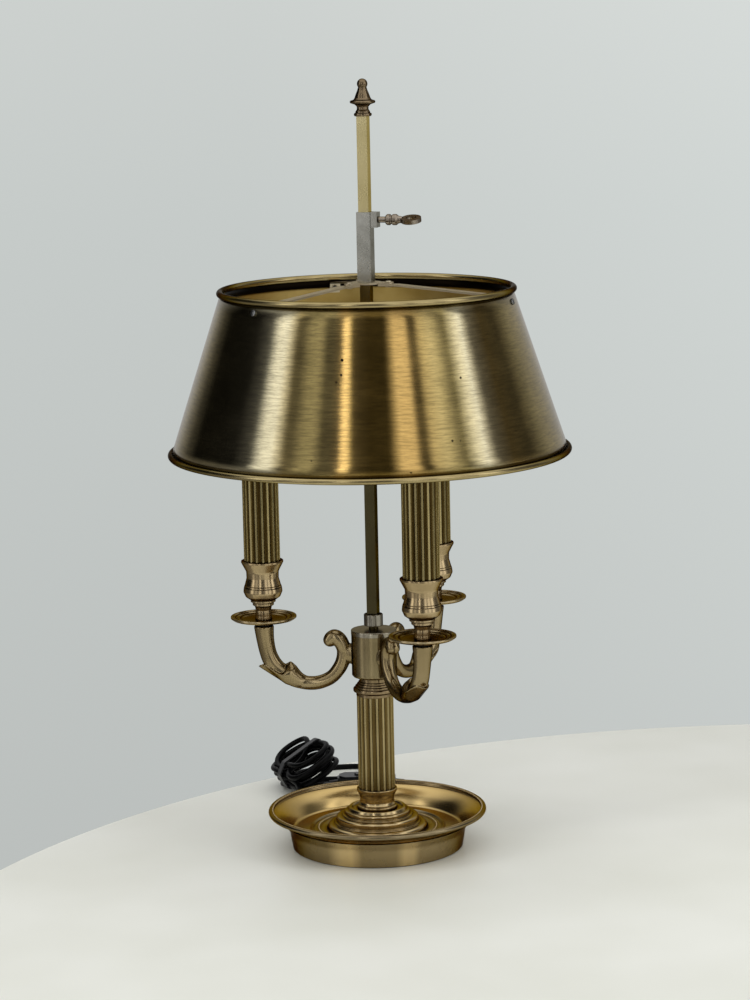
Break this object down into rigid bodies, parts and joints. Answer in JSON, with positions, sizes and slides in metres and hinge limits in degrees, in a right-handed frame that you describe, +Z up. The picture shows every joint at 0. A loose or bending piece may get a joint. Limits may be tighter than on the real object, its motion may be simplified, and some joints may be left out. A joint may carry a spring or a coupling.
{
  "type": "bouillotte table lamp",
  "caption": "Brass bouillotte lamp: tray base, fluted column, scroll arms with candle lights, and a metal drum shade that slides on a square rod and locks with a key.",
  "frame": {"origin": "centre of the base where the felt meets the table", "axes": "+Z up along the rod; one candle arm points along -X, the other two at 60 and 300 degrees from +X; the cord leaves the base along +Y"},
  "size_m": [0.345, 0.4344, 0.6634],
  "materials": {
    "arm_brass": "cast, satin",
    "black_plastic": "satin",
    "black_rubber": "satin",
    "boss_nickel": "nickel over brass",
    "candle_brass": "satin",
    "capital_brass": "satin",
    "collar_nickel": "nickel plated, worn",
    "column_brass": "satin",
    "contact_brass": "bright",
    "cord_black": "glossy",
    "cup_brass": "satin",
    "dark_iron": "blackened",
    "drum_brass": "satin",
    "felt": "matte",
    "finial_brass": "satin",
    "holder_ceramic": "glazed",
    "key_brass": "satin",
    "lead_sheath": "satin",
    "lid_brass": "satin",
    "pan_brass": "antiqued dark",
    "pin_steel": "nickel plated",
    "plated_steel": "plated",
    "plinth_brass": "satin",
    "rocker_plastic": "satin",
    "rod_brass": "satin",
    "screw_steel": "blackened heads",
    "shade_brass": "brushed, antiqued",
    "skirt_brass": "satin",
    "sleeve_nickel": "nickel over brass, mottled",
    "socket_brass": "satin",
    "spider_brass": "satin",
    "tie_black": "glossy",
    "tray_brass": "satin",
    "weight_iron": "rough",
    "white_plastic": "matte"
  },
  "bodies": {
    "lamp": {"felt_pad": "felt", "base_weight": "weight_iron", "base_skirt": "skirt_brass", "base_tray": "tray_brass", "base_plinth": "plinth_brass", "column_socket": "socket_brass", "column": "column_brass", "capital": "capital_brass", "hub_drum": "drum_brass", "hub_lid": "lid_brass", "stem_pipe": "plated_steel", "stem_washer": "plated_steel", "stem_nuts": "plated_steel", "stem_coupler": "plated_steel", "wire_junction": "white_plastic", "rod_collar": "collar_nickel", "square_rod": "rod_brass", "finial": "finial_brass", "arm_1": "arm_brass", "arm_2": "arm_brass", "arm_3": "arm_brass", "bobeche_1": "pan_brass", "bobeche_2": "pan_brass", "bobeche_3": "pan_brass", "candle_cup_1": "cup_brass", "candle_cup_2": "cup_brass", "candle_cup_3": "cup_brass", "candle_sleeve_1": "candle_brass", "candle_sleeve_2": "candle_brass", "candle_sleeve_3": "candle_brass", "lampholder_1": "holder_ceramic", "lampholder_2": "holder_ceramic", "lampholder_3": "holder_ceramic", "arm_collars": "dark_iron", "candle_pipes": "plated_steel", "lamp_contacts": "contact_brass", "arm_leads": "lead_sheath", "cord_bushing": "black_rubber", "base_lead": "lead_sheath", "cord_run_a": "cord_black", "cord_run_b": "cord_black", "cord_tail": "cord_black", "cord_hank": "cord_black", "cord_tie": "tie_black", "plug_body": "black_rubber", "plug_pins": "pin_steel", "switch_base": "black_plastic", "switch_cover": "black_plastic"},
    "shade_carrier": {"shade": "shade_brass", "shade_wires": "plated_steel", "spider_plate": "spider_brass", "spider_straps": "spider_brass", "spider_rivets": "spider_brass", "spider_screws": "screw_steel", "spider_nuts": "screw_steel", "slider_sleeve": "sleeve_nickel", "clamp_boss": "boss_nickel"},
    "clamp_screw": {"clamp_stud": "screw_steel"},
    "key_head": {"key": "key_brass"},
    "rocker": {"switch_rocker": "rocker_plastic"}
  },
  "joints": [
    {"name": "shade_slide", "type": "slide", "parent": "lamp", "child": "shade_carrier", "axis": [0, 0, 1], "range_m": [-0.27, 0.08]},
    {"name": "key_turn", "type": "hinge", "parent": "clamp_screw", "child": "key_head", "pos_m": [0.02931, -0.00639, 0.54535], "axis": [0.977, -0.213, 0], "range_deg": [0, 540]},
    {"name": "clamp_feed", "type": "slide", "parent": "shade_carrier", "child": "clamp_screw", "axis": [0.977, -0.213, 0], "range_m": [0, 0.0015]},
    {"name": "rocker_tip", "type": "hinge", "parent": "lamp", "child": "rocker", "pos_m": [-0.024, 0.175, 0.012], "axis": [-0.0872, 0.9962, 0], "range_deg": [-8, 8]}
  ],
  "couplings": [
    {"joint": "key_turn", "follows": "clamp_feed", "rad_per_m": 6283.2}
  ]
}
